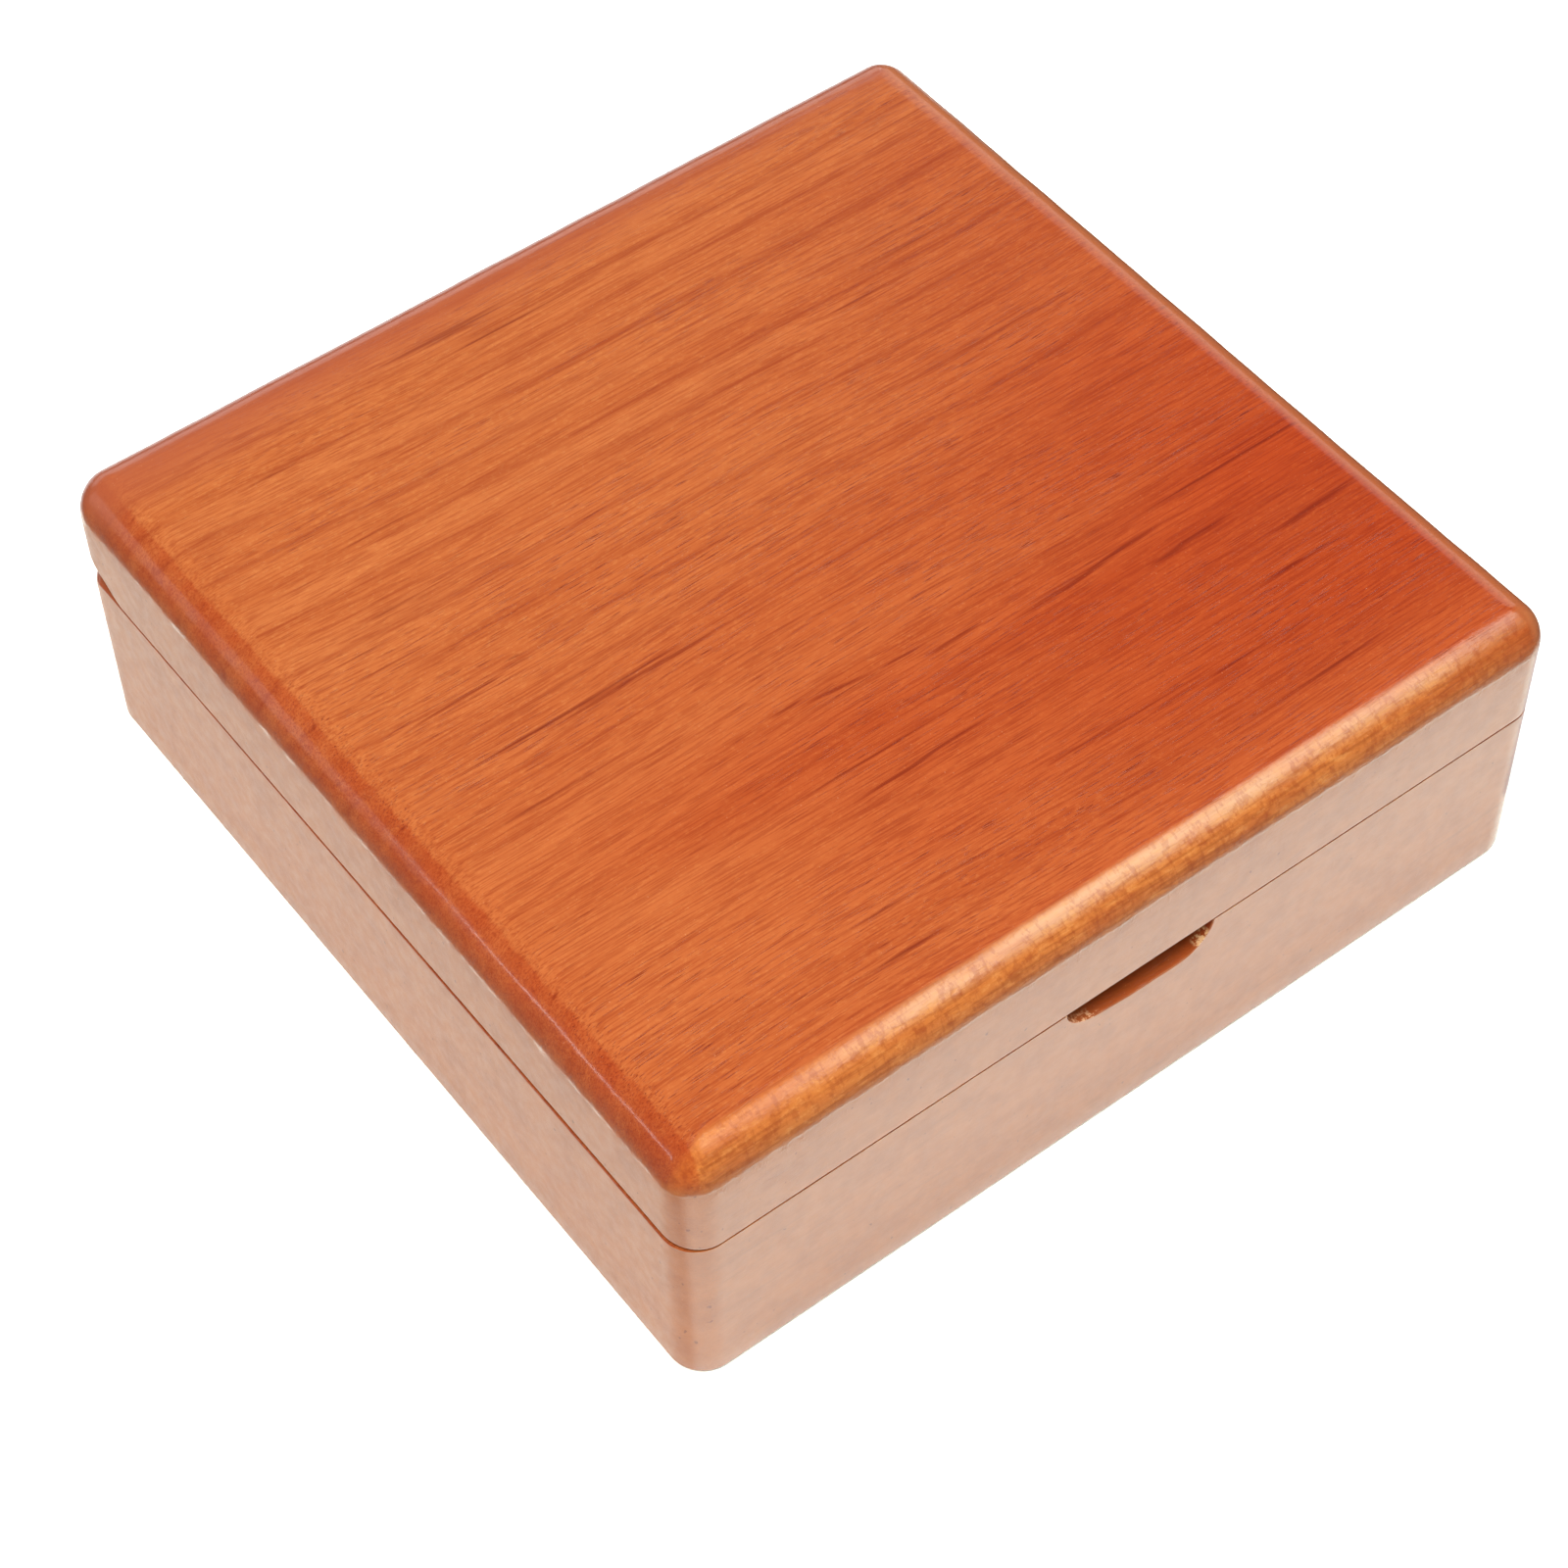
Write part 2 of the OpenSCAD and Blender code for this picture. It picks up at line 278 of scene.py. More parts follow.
def top_round_rings(z1):
    """Rings up the slightly uneven round along the lid's top edges, and in over its top."""
    wall_xy, wall_n = outer_ring(0)
    slow = 0.16 * MM * wander(wall_xy, 13 * MM, 3.1) + 0.09 * MM * wander(wall_xy, 4.5 * MM, 8.7)
    chatter = 0.03 * MM * wander(wall_xy, 1.4 * MM, 6.3) * np.abs(wall_n[:, 1])
    uneven = slow + chatter
    rings = []
    for phi in np.linspace(0, math.pi / 2, 15):
        out = 1 - math.cos(phi)
        xy, n = outer_ring(LID_TOP_R * out, LEFT_EXTRA_R * out)
        xy = xy - n * (uneven * math.sin(2 * phi) * 0.5)[:, None]
        drop = LID_TOP_R + LEFT_EXTRA_R * leftness(wall_n) + uneven * (1 - math.sin(phi))
        rings.append(with_z(xy, z1 - drop * (1 - math.sin(phi))))
    for more in (0.5 * MM, 1.5 * MM):
        xy, _ = outer_ring(LID_TOP_R + more, LEFT_EXTRA_R)
        rings.append(with_z(xy, z1))
    return rings


def make_lid():
    z0, z1 = LID_LOW.z, LID_HIGH.z
    rings = list(reversed(hollow_rings(z0, 1, LID_FELT_HIGH.z)))
    rings += eased_edge(z0, 1, lid_rim_ease, 4)
    wall_xy, wall_n = outer_ring(0)
    eased = lid_rim_ease(wall_xy, wall_n)
    for theta in np.linspace(math.radians(15), math.pi / 2, 11):
        rings.append(with_z(wall_xy, z0 + eased + (LID_BACK_R - eased) * (1 - math.cos(theta))))
    rings.append(with_z(wall_xy, z0 + LID_MIDDLE))
    rings += top_round_rings(z1)
    rings = [cut_back_edge(r, z0, 1, LID_BACK_R) for r in rings]
    return loft("lid_wood", rings)


def make_base():
    z0, z1 = BASE_LOW.z, BASE_HIGH.z
    xy, _ = outer_ring(FOOT_EASE + 0.5 * MM)
    rings = [with_z(xy, z0)]
    rings += eased_edge(z0, 1, base_foot_ease, 4)
    wall_xy, wall_n = outer_ring(0)
    for z in np.linspace(z0 + 3 * MM, z1 - 3 * MM, 5):
        rings.append(with_z(wall_xy, z))
    eased = base_rim_ease(wall_xy, wall_n)
    for theta in np.linspace(math.pi / 2, math.radians(20), 7):
        rings.append(with_z(wall_xy, z1 - eased - (BASE_BACK_R - eased) * (1 - math.cos(theta))))
    rings += list(reversed(eased_edge(z1, -1, base_rim_ease, 4)))
    rings += hollow_rings(z1, -1, BASE_FELT_LOW.z)
    rings = [cut_back_edge(r, z1, -1, BASE_BACK_R) for r in rings]
    return loft("base_wood", rings)


# ---- cuts in the blocks ----

def cut(obj, cutter):
    """Takes cutter out of obj for good."""
    modifier = obj.modifiers.new("cut", "BOOLEAN")
    modifier.object = cutter
    modifier.operation = "DIFFERENCE"
    modifier.solver = "EXACT"
    done = bpy.data.meshes.new_from_object(obj.evaluated_get(bpy.context.evaluated_depsgraph_get()))
    obj.modifiers.clear()
    obj.data = done
    bpy.data.objects.remove(cutter)


def box_cutter(low, high):
    bm = bmesh.new()
    bmesh.ops.create_cube(bm, size=1)
    for v in bm.verts:
        for k in range(3):
            v.co[k] = high[k] if v.co[k] > 0 else low[k]
    mesh = bpy.data.meshes.new("cutter")
    bm.to_mesh(mesh)
    bm.free()
    return link("cutter", mesh)


def round_cutter(centre, r, length, axis):
    bm = bmesh.new()
    turn = Vector((0, 0, 1)).rotation_difference(Vector(axis)).to_matrix().to_4x4()
    bmesh.ops.create_cone(bm, cap_ends=True, segments=40, radius1=r, radius2=r, depth=length,
                          matrix=Matrix.Translation(centre) @ turn)
    mesh = bpy.data.meshes.new("cutter")
    bm.to_mesh(mesh)
    bm.free()
    return link("cutter", mesh)


def notch_outline(grow):
    """Round ends on a flat bottom, in (x, z) from the middle of the rim, from left to right."""
    r = NOTCH_R + grow
    flat = NOTCH_W / 2 - math.sqrt(NOTCH_R ** 2 - (NOTCH_R - NOTCH_H) ** 2)
    middle_z = NOTCH_R - NOTCH_H
    above = 2 * MM
    points = [(-flat - r, above)]
    for i in range(NOTCH_END_STEPS + 1):
        a = math.radians(180 + 90 * i / NOTCH_END_STEPS)
        slack = 1 + 0.10 * math.sin(2 * (a - math.pi))
        points.append((-flat + r * slack * math.cos(a), middle_z + r * math.sin(a)))
    for i in range(1, NOTCH_BOTTOM_STEPS):
        x = -flat + 2 * flat * i / NOTCH_BOTTOM_STEPS
        waviness = 0.06 * MM * math.sin(x * 900)
        points.append((x, middle_z - r + waviness))
    for i in range(NOTCH_END_STEPS + 1):
        a = math.radians(270 + 90 * i / NOTCH_END_STEPS)
        points.append((flat + r * math.cos(a), middle_z + r * math.sin(a)))
    points.append((flat + r, above))
    points = np.array(points)
    shallower = 0.15 * smoothstep(2 * MM, -7 * MM, points[:, 0])
    points[:, 1] = np.where(points[:, 1] < 0, points[:, 1] * (1 - shallower), points[:, 1])
    points[:, 0] += NOTCH_SHIFT
    return points


def notch_cutter():
    """The notch's cutter. It flares a little where it leaves the front face, and rounds off inside."""
    rings = []
    for y, grow in ((-2 * MM, 0.10 * MM), (0, 0.10 * MM), (0.04 * MM, 0.04 * MM), (0.12 * MM, 0),
                    (0.45 * MM, 0), (NOTCH_DEPTH - 0.5 * MM, 0), (NOTCH_DEPTH - 0.1 * MM, -0.15 * MM),
                    (NOTCH_DEPTH, -0.5 * MM)):
        xz = notch_outline(grow)
        rings.append(np.column_stack([xz[:, 0], np.full(len(xz), BASE_LOW.y + y), BASE_HIGH.z + xz[:, 1]]))
    return loft("cutter", rings)


def cut_hinge_room(obj, rim, up):
    """Mortises for the leaves, and pockets round the knuckles."""
    for x in (-HINGE_X, HINGE_X):
        z = sorted((rim - up * PAST_RIM, rim + up * LEAF_T))
        cut(obj, box_cutter((x - MORTISE, MORTISE_FRONT, z[0]), (x + MORTISE, HINGE.y, z[1])))
        cut(obj, round_cutter(Vector((x, HINGE.y, HINGE.z)), KNUCKLE_ROOM_R, KNUCKLE_ROOM_W, (1, 0, 0)))


def cut_magnet_holes(obj, rim, up):
    for side in ("left", "right"):
        low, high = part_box(f"{side}_lid_magnet")
        middle = (low + high) / 2
        depth = MAGNET_ROOM_T + PAST_RIM
        place = Vector((middle.x, middle.y, rim + up * (depth / 2 - PAST_RIM)))
        cut(obj, round_cutter(place, MAGNET_ROOM_R, depth, (0, 0, 1)))


def finish_wood(obj, material):
    """Keeps curved faces smooth and cut edges crisp after the cuts."""
    obj.data.materials.clear()
    obj.data.materials.append(material)
    shade_smooth(obj.data)
    obj.data.set_sharp_from_angle(angle=math.radians(32))


# ---- felt ----

def make_felt(name, low, high, nap_up):
    """A pad with a soft, slightly lumpy nap on the side that shows: up for nap_up 1, down for -1."""
    r = HOLLOW_R - 0.15 * MM
    thick = high.z - low.z
    back, face = (low.z, high.z) if nap_up > 0 else (high.z, low.z)
    edge = 0.35 * thick

    def pad_ring(inset):
        corner = max(r - inset, TIGHTEST_R)
        xy, _ = ring(low.x + inset, high.x - inset, low.y + inset, high.y - inset, corner)
        return xy

    rings = [with_z(pad_ring(0), back), with_z(pad_ring(0), face - nap_up * edge)]
    for degrees in (30, 60, 90):
        a = math.radians(degrees)
        rings.append(with_z(pad_ring(edge * (1 - math.cos(a))), face - nap_up * edge * (1 - math.sin(a))))
    inset = edge
    while inset < (high.x - low.x) / 2 - 1.2 * MM:
        inset += 0.8 * MM
        xy = pad_ring(inset)
        nap = 0.02 * wander(xy, 1.3 * MM, 4.4) + 0.04 * wander(xy, 9 * MM, 9.1) - 0.06
        rings.append(with_z(xy, face + nap_up * nap * MM))
    return loft(name, rings)


# ---- camera, light and floor ----

def make_camera():
    forward = Vector((math.sin(AZIMUTH) * math.cos(ELEVATION),
                      math.cos(AZIMUTH) * math.cos(ELEVATION),
                      -math.sin(ELEVATION)))
    level_right = forward.cross(Vector((0, 0, 1))).normalized()
    level_up = level_right.cross(forward)
    up = math.cos(ROLL) * level_up + math.sin(ROLL) * level_right
    right = forward.cross(up)
    turn = Matrix((right, up, -forward)).transposed().to_4x4()
    data = bpy.data.cameras.new("camera")
    data.lens = LENS
    data.sensor_width = 36
    data.clip_start = 0.01
    camera = bpy.data.objects.new("camera", data)
    camera.matrix_world = Matrix.Translation(AIM - forward * DISTANCE) @ turn
    bpy.context.scene.collection.objects.link(camera)
    bpy.context.scene.camera = camera


def soft_light(name, place, target, size, radiance, glossy=True):
    """A softbox: a rectangular light that the camera itself doesn't see."""
    data = bpy.data.lights.new(name, "AREA")
    data.shape = "RECTANGLE"
    data.size, data.size_y = size
    data.energy = radiance * math.pi * size[0] * size[1]
    lamp = bpy.data.objects.new(name, data)
    lamp.location = place
    lamp.rotation_euler = (Vector(target) - Vector(place)).to_track_quat("-Z", "Y").to_euler()
    lamp.visible_camera = False
    lamp.visible_glossy = glossy
    bpy.context.scene.collection.objects.link(lamp)


def plain_paint(name, colour):
    material = bpy.data.materials.new(name)
    material.use_nodes = True
    shader = material.node_tree.nodes["Principled BSDF"]
    shader.inputs["Base Color"].default_value = colour
    shader.inputs["Roughness"].default_value = 0.9
    shader.inputs["Specular IOR Level"].default_value = 0.1
    return material


def mats(name, shade, areas):
    """Flat mats over the floor, one for each (x0, y0, x1, y1). Only reflections see them."""
    verts, faces = [], []
    for x0, y0, x1, y1 in areas:
        first = len(verts)
        verts += [(x, y, 0.3 * MM) for x, y in ((x0, y0), (x1, y0), (x1, y1), (x0, y1))]
        faces.append(range(first, first + 4))
    mesh = bpy.data.meshes.new(name)
    mesh.from_pydata(verts, [], faces)
    mesh.materials.append(plain_paint(name + "_paint", (shade, shade, shade, 1)))
    obj = link(name, mesh)
    obj.visible_camera = False
    obj.visible_diffuse = False
    obj.visible_shadow = False
    return obj


def make_mats():
    """Dark and grey mats, which keep the pale floor out of the rounds' and the back's reflections."""
    far = 2500 * MM
    left, front, right, back = -69 * MM, -73 * MM, 84 * MM, 84 * MM
    beside, behind = 54 * MM, 54 * MM
    past_right, past_back = 130 * MM, 240 * MM
    dark_mat = mats("dark_mat", 0.02, ((-far, -far, left, far), (left, -far, far, front),
                                       (right, front, far, back), (past_right, back, far, past_back),
                                       (left, past_back, far, far)))
    grey_mat = mats("grey_mat", 0.45, ((beside, -52 * MM, right, back), (-48 * MM, behind, beside, back),
                                       (left, back, past_right, past_back)))
    return dark_mat, grey_mat


def make_backdrop():
    """A white ground all round, which only the camera sees."""
    bm = bmesh.new()
    bmesh.ops.create_icosphere(bm, subdivisions=4, radius=4)
    mesh = bpy.data.meshes.new("backdrop")
    bm.to_mesh(mesh)
    bm.free()
    backdrop = link("backdrop", mesh)
    glow = plain_paint("backdrop_paint", (1, 1, 1, 1))
    glow.node_tree.nodes["Principled BSDF"].inputs["Emission Color"].default_value = (1, 1, 1, 1)
    glow.node_tree.nodes["Principled BSDF"].inputs["Emission Strength"].default_value = 1.0
    mesh.materials.append(glow)
    backdrop.visible_diffuse = False
    backdrop.visible_glossy = False
    backdrop.visible_shadow = False
    backdrop.visible_transmission = False
    return backdrop


def make_floor():
    bm = bmesh.new()
    bmesh.ops.create_circle(bm, cap_ends=True, segments=96, radius=0.62)
    mesh = bpy.data.meshes.new("floor")
    bm.to_mesh(mesh)
    bm.free()
    mesh.materials.append(plain_paint("floor_paint", (0.83, 0.84, 0.75, 1)))
    return link("floor", mesh)


def make_stage():
    floor = make_floor()
    backdrop = make_backdrop()
    dark_mat, grey_mat = make_mats()


def make_light():
    world = bpy.data.worlds.new("studio")
    world.use_nodes = True
    world.node_tree.nodes["Background"].inputs["Color"].default_value = (0.07, 0.07, 0.07, 1)
    bpy.context.scene.world = world
    bpy.context.scene.view_settings.view_transform = "Standard"
    centre = (0, 0, 0.02)
    soft_light("overhead", (-0.21, -0.13, 0.83), centre, (0.66, 0.56), 18.8, glossy=False)
    soft_light("front_strip", (0.33, -0.30, 0.72), centre, (0.66, 0.36), 4.6)
    soft_light("back_right", (0.62, 0.45, 0.36), centre, (0.60, 0.40), 1.1)
    soft_light("behind", (0.10, 0.85, 0.24), centre, (1.10, 0.30), 1.3)
    soft_light("left_back", (-0.70, 0.58, 0.20), centre, (0.30, 0.34), 0.9)
    soft_light("left_glint", (-0.73, 0.30, 0.26), centre, (0.22, 0.03), 10.0)


# ---- colours, as linear red, green, blue and alpha ----

LIGHT = (0.266, 0.0770, 0.0208, 1)
MIDDLE = (0.233, 0.0575, 0.0136, 1)
DARK = (0.146, 0.0210, 0.0045, 1)
DARKEST = (0.086, 0.0090, 0.0025, 1)
PALE_FLECK = (0.300, 0.1050, 0.0300, 1)
PAINTED_SHADE_RED = (0.74, 0.22, 0.04, 1)             # painted shade: multiplies what is under it, darker and more red towards the front right
WORN_ORANGE = (0.300, 0.0950, 0.0190, 1)
# painted highlight along the top of the front round
PAINTED_HIGHLIGHT_PALE = (0.310, 0.1620, 0.0700, 1)
WORN_YELLOW = (0.380, 0.1620, 0.0440, 1)
MOTTLED_BROWN = (0.170, 0.0330, 0.0060, 1)
LINED_BROWN = (0.150, 0.0330, 0.0060, 1)
LEFT_BACK_DARKENING = (0.84, 0.58, 0.50, 1)            # multiplies what is under it
# painted reflection along the back edge
PAINTED_REFLECTION_PINK = (0.192, 0.0430, 0.0170, 1)
# painted highlight on the right round
PAINTED_HIGHLIGHT_ORANGE = (0.262, 0.0780, 0.0240, 1)
FACE_LIGHT = (0.244, 0.0740, 0.0180, 1)
FACE_DARK = (0.204, 0.0560, 0.0140, 1)
# painted shade on the notch's floor
NOTCH_FLOOR_SHADE = (0.215, 0.0460, 0.0095, 1)
# torn fibres with painted highlights
TORN_FIBRE_HIGHLIGHT = (0.50, 0.27, 0.14, 1)
# a splinter with a painted reflection
SPLINTER_REFLECTION = (0.46, 0.27, 0.13, 1)
RUBBED_ORANGE = (0.260, 0.0700, 0.0130, 1)
PALE_DUST = (0.42, 0.22, 0.12, 1)
BRASS_COLOUR = (0.80, 0.60, 0.27, 1)
NICKEL_COLOUR = (0.74, 0.75, 0.77, 1)
FELT_DARK = (0.006, 0.005, 0.005, 1)
FELT_LIGHT = (0.030, 0.026, 0.025, 1)
FELT_CLOUD = (0.012, 0.010, 0.010, 1)


# ---- materials ----

class Graph:
    """A thin wrapper that keeps node building short."""

    def __init__(self, name):
        self.material = bpy.data.materials.new(name)
        self.material.use_nodes = True
        self.tree = self.material.node_tree
        self.shader = self.tree.nodes["Principled BSDF"]

    def node(self, kind, **settings):
        made = self.tree.nodes.new(kind)
        for key, value in settings.items():
            setattr(made, key, value)
        return made

    def put(self, socket, value):
        """Links value to the socket if it is one itself, and sets it otherwise."""
        if isinstance(value, bpy.types.NodeSocket):
            self.tree.links.new(value, socket)
        else:
            socket.default_value = value

    def math(self, operation, a, b=0.0, clamp=False):
        n = self.node("ShaderNodeMath", operation=operation, use_clamp=clamp)
        self.put(n.inputs[0], a)
        self.put(n.inputs[1], b)
        return n.outputs[0]

    def product(self, first, *others):
        for other in others:
            first = self.math("MULTIPLY", first, other)
        return first

    def total(self, first, *others):
        for other in others:
            first = self.math("ADD", first, other)
        return first

    def inverse(self, value):
        return self.math("SUBTRACT", 1.0, value)

    def centred(self, value, spread):
        """Carries a noise from 0..1 to half of spread either side of 0."""
        return self.math("MULTIPLY", self.math("SUBTRACT", value, 0.5), spread)

    def ramp(self, value, low, high, to_low=0.0, to_high=1.0):
        """Smoothly carries value from low..high to to_low..to_high."""
        n = self.node("ShaderNodeMapRange", interpolation_type="SMOOTHSTEP")
        for socket, v in zip(n.inputs, (value, low, high, to_low, to_high)):
            self.put(socket, v)
        return n.outputs[0]

    def mix(self, factor, a, b, blend="MIX"):
        n = self.node("ShaderNodeMix", data_type="RGBA", blend_type=blend)
        self.put(n.inputs["Factor"], factor)
        self.put(n.inputs[6], a)
        self.put(n.inputs[7], b)
        return n.outputs[2]

    def vector(self, operation, a, b):
        n = self.node("ShaderNodeVectorMath", operation=operation)
        self.put(n.inputs[0], a)
        self.put(n.inputs[1], b)
        return n.outputs[0]

    def noise(self, where, waves, detail=2.0, roughness=0.5):
        """Noise with so many waves to the metre along X, Y and Z."""
        n = self.node("ShaderNodeTexNoise")
        self.put(n.inputs["Vector"], self.vector("MULTIPLY", where, waves))
        n.inputs["Scale"].default_value = 1.0
        n.inputs["Detail"].default_value = detail
        n.inputs["Roughness"].default_value = roughness
        return n.outputs[0]

    def bump(self, height, distance):
        n = self.node("ShaderNodeBump")
        self.put(n.inputs["Height"], height)
        n.inputs["Distance"].default_value = distance
        n.inputs["Strength"].default_value = 1.0
        return n.outputs[0]

    def split(self, vector):
        n = self.node("ShaderNodeSeparateXYZ")
        self.put(n.inputs[0], vector)
        return n.outputs

    def place(self):
        return self.node("ShaderNodeTexCoord").outputs["Object"]

    def facing(self):
        """The surface's own normal, in the piece's space, as three numbers."""
        return self.split(self.node("ShaderNodeTexCoord").outputs["Normal"])


class Wood(Graph):
    """The wood's graph, with the places, masks and noises that its layers share, and its colour so far.

    own is a place in the piece. grain is that place in the plank it is cut from, which offset picks.
    """

    def __init__(self, name, offset):
        super().__init__(name)
        self.own = self.place()
        self.x, self.y, self.z = self.split(self.own)
        self.nx, self.ny, self.nz = self.facing()
        self.grain = self.bent_grain(offset)
        self.narrow = self.noise(self.grain, (45, 2100, 2100), detail=3.0, roughness=0.6)
        self.cloud = self.centred(self.noise(self.grain, (18, 60, 60)), 0.06)
        self.patch = self.noise(self.own, (110, 500, 500), detail=3.0)
        self.ripple = self.noise(self.own, (650, 1500, 1500), detail=5.0, roughness=0.70)
        self.peel = self.noise(self.own, (700, 700, 700), detail=3.0, roughness=0.6)
        self.find_faces()
        # 0 at the left end, 1 from x = -14 mm rightwards: the front round's painted highlight fades out
        # and its coat dulls towards the left end
        self.past_left_end = self.ramp(self.x, -47 * MM, -14 * MM)
        self.pore_mask = 0.0
        self.colour = MIDDLE

    def bent_grain(self, offset):
        """The grain runs nearly straight, with slow bends of a millimetre or two."""
        where = self.vector("ADD", self.own, offset)
        x, y, z = self.split(where)
        bend = self.centred(self.noise(where, (11, 22, 22), detail=1.0), 6 * MM)
        joined = self.node("ShaderNodeCombineXYZ")
        self.put(joined.inputs[0], x)
        self.put(joined.inputs[1], self.total(y, bend))
        self.put(joined.inputs[2], self.total(z, bend))
        return joined.outputs[0]

    def find_faces(self):
        """Masks for end grain, the upright faces, and the rounds, whose edges are ragged."""
        self.end = self.ramp(self.math("ABSOLUTE", self.nx), 0.55, 0.92)
        self.upright = self.inverse(self.ramp(self.math("ABSOLUTE", self.nz), 0.02, 0.30))
        ragged = self.centred(self.noise(self.own, (900, 500, 500), detail=4.0, roughness=0.65), 0.20)
        self.above_wall = self.ramp(self.total(self.nz, ragged), 0.02, 0.09)
        self.front_round = self.product(self.ramp(self.ny, -0.16, -0.40), self.above_wall)
        back_or_left = self.total(self.math("MAXIMUM", self.ny, self.product(self.nx, -1.0)), ragged)
        self.back_or_left_round = self.product(self.ramp(back_or_left, 0.34, 0.45), self.above_wall)

    def tint(self, factor, colour, blend="MIX"):
        """Lays a colour over the wood's colour so far."""
        self.colour = self.mix(factor, self.colour, colour, blend)


def base_grain(w):
    """Broad and narrow bands, hair lines and pale flecks."""
    wide = w.noise(w.grain, (8, 260, 260), detail=3.0, roughness=0.6)
    hair = w.noise(w.grain, (190, 6400, 6400), roughness=0.55)
    fleck = w.noise(w.own, (1500, 2600, 2600), detail=3.0, roughness=0.65)
    w.tint(w.ramp(wide, 0.26, 0.72), LIGHT)
    w.tint(w.ramp(fleck, 0.50, 0.70, 0.0, 0.46), PALE_FLECK)
    w.tint(w.ramp(w.narrow, 0.50, 0.74, 0.0, 0.34), DARK)
    w.tint(w.ramp(hair, 0.44, 0.64, 0.0, 0.50), DARK)


def growth_rings(w):
    """Thin darker lines, plainest towards the back. 1350 radians to the metre puts them 4.65 mm apart."""
    _, y, z = w.split(w.grain)
    ring_at = w.total(y, w.product(z, 0.35))
    drift = w.product(w.noise(w.grain, (5, 110, 110)), 7.0)
    jitter = w.product(w.noise(w.grain, (120, 900, 900), detail=1.0), 0.9)
    phase = w.total(w.product(ring_at, 1350.0), drift, jitter)
    wave = w.product(w.total(w.math("SINE", phase), 1.0), 0.5)
    late_wood = w.total(w.product(w.math("POWER", wave, 36.0), 0.65),
                        w.product(w.math("POWER", wave, 4.0), 0.35))
    plain = w.ramp(w.y, -22 * MM, 20 * MM, 0.06, 0.52)
    broken = w.ramp(w.noise(w.grain, (55, 300, 300)), 0.36, 0.60, 0.25, 1.0)
    w.tint(w.product(late_wood, plain, broken), DARK)


def long_streaks(w):
    """A few long, thin, dark streaks with a redder border, except in end grain."""
    heart = w.noise(w.grain, (24, 1050, 1050))
    long_grain = w.inverse(w.end)
    w.tint(w.product(w.ramp(heart, 0.60, 0.72, 0.0, 0.30), long_grain), DARK)
    w.tint(w.product(w.ramp(heart, 0.69, 0.78, 0.0, 0.60), long_grain), DARKEST)


def top_streaks(w):
    """The lid's own dark streaks, each a thin tapering line with a redder border."""
    fibres = w.noise(w.own, (150, 7000, 1))
    y = w.total(w.y, w.centred(w.noise(w.own, (75, 30, 1), detail=3.0), 1.1 * MM))
    line = 0.0
    for middle_x, middle_y, length, width, rise in STREAKS:
        along = w.math("SUBTRACT", w.x, middle_x * MM)
        off = w.math("SUBTRACT", w.math("SUBTRACT", y, w.product(along, rise / length)), middle_y * MM)
        taper = w.ramp(w.math("ABSOLUTE", along), 0.10 * length * MM, 0.66 * length * MM, 1.0, 0.0)
        core = w.ramp(w.math("ABSOLUTE", off), 0.0, 1.11 * width * MM, 1.0, 0.0)
        line = w.math("MAXIMUM", line, w.product(taper, core))
    line = w.product(line, w.ramp(w.nz, 0.90, 0.99), w.ramp(fibres, 0.30, 0.60, 0.45, 1.0))
    w.tint(w.ramp(line, 0.02, 0.55, 0.0, 0.54), DARK)
    w.tint(w.ramp(line, 0.30, 0.85, 0.0, 0.44), DARKEST)


def pores(w):
    """Fine dark dashes along the grain, in loose groups."""
    group = w.ramp(w.noise(w.grain, (24, 100, 100)), 0.38, 0.66, 0.30, 1.0)
    dashes = w.ramp(w.noise(w.grain, (330, 9500, 9500), detail=1.0), 0.61, 0.71, 0.0, 0.76)
    w.pore_mask = w.product(dashes, group)
    w.tint(w.pore_mask, DARKEST)


def painted_shade_front_right(w):
    """Painted shade: the front right half is darker and more red, mostly on faces that look up and a
    little less along the front.
    """
    slope = w.math("SUBTRACT", w.product(w.x, 0.6), w.product(w.y, 0.8))
    painted_shade = w.ramp(w.total(slope, w.cloud), -42 * MM, 74 * MM)
    looks_up = w.ramp(w.ramp(w.nz, 0.0, 0.6), 0.0, 1.0, 0.2, 1.0)
    less_in_front = w.ramp(w.y, -46 * MM, -28 * MM, 0.66, 1.0)
    # painted shade over the front right half
    w.tint(w.product(painted_shade, looks_up, less_in_front), PAINTED_SHADE_RED, "MULTIPLY")


